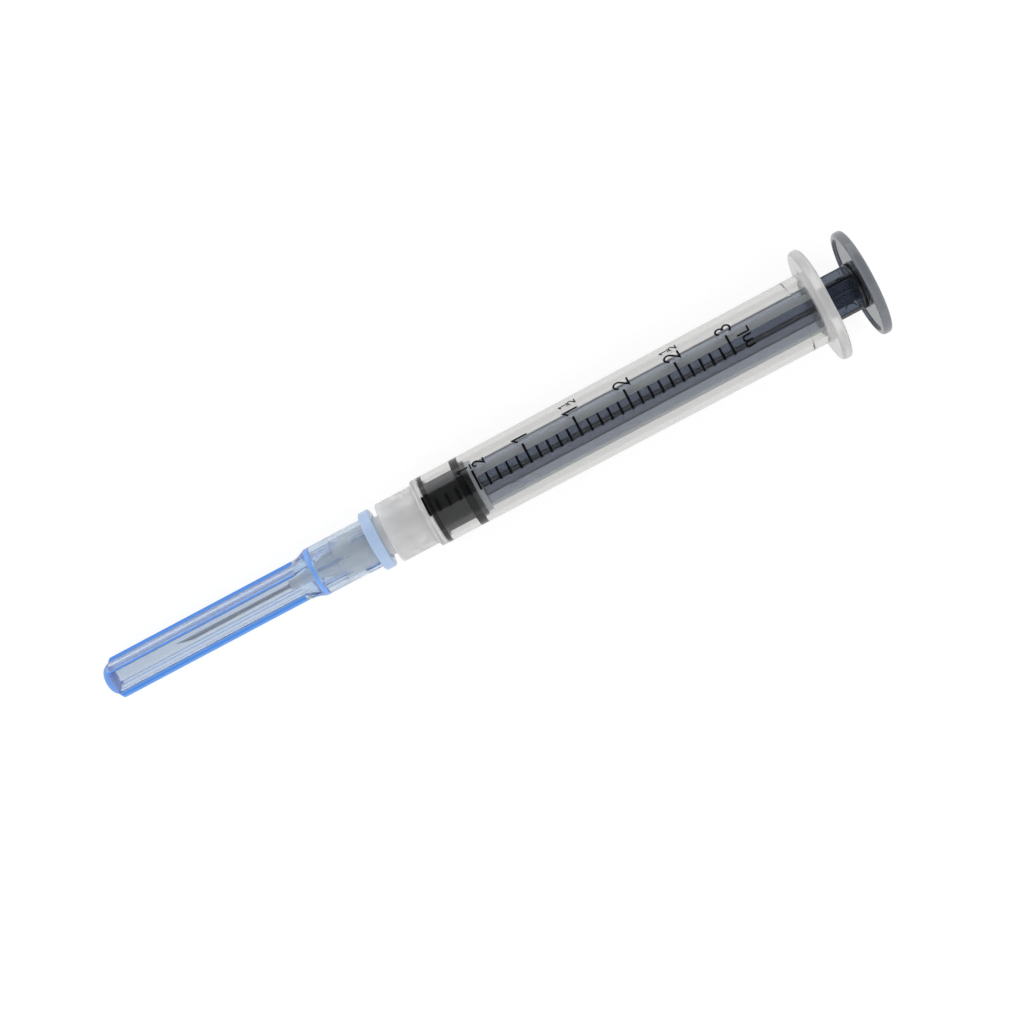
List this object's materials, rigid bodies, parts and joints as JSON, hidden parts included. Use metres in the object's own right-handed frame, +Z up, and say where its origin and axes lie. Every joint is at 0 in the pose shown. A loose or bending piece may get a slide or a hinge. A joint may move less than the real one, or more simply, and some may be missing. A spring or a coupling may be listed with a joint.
{
  "type": "syringe",
  "caption": "Disposable luer-lock syringe: clear graduated barrel, smoke-grey plunger with a black rubber stopper, and a needle under a translucent blue sheath.",
  "frame": {"origin": "point on the table under the middle of the syringe's whole length", "axes": "+X along the syringe towards the thumb disc, +Y across it, +Z up from the table. The syringe's own axis rises 2.48 degrees towards +X, because it lies on its flange and on a fin near the sheath's tip"},
  "size_m": [0.1222, 0.017, 0.0163],
  "materials": {
    "barrel": "clear moulded polypropylene",
    "plunger_rod": "smoke-grey translucent moulded plastic",
    "stopper": "siliconed black rubber",
    "needle_hub": "colourless moulded polypropylene",
    "cannula": "drawn and ground stainless steel",
    "glue_bead": "cured adhesive",
    "needle_sheath": "translucent blue moulded plastic"
  },
  "bodies": {
    "barrel": {"barrel": "barrel"},
    "plunger": {"plunger_rod": "plunger_rod", "stopper": "stopper"},
    "needle": {"needle_hub": "needle_hub", "cannula": "cannula", "glue_bead": "glue_bead"},
    "sheath": {"needle_sheath": "needle_sheath"}
  },
  "joints": [
    {"name": "plunger_slide", "type": "slide", "parent": "barrel", "child": "plunger", "axis": [0.9991, 0, 0.0432], "range_m": [0, 0.05]},
    {"name": "needle_slide", "type": "slide", "parent": "barrel", "child": "needle", "axis": [-0.9991, 0, -0.0432], "range_m": [0, 0.008]},
    {"name": "sheath_slide", "type": "slide", "parent": "needle", "child": "sheath", "axis": [-0.9991, 0, -0.0432], "range_m": [0, 0.04]}
  ]
}
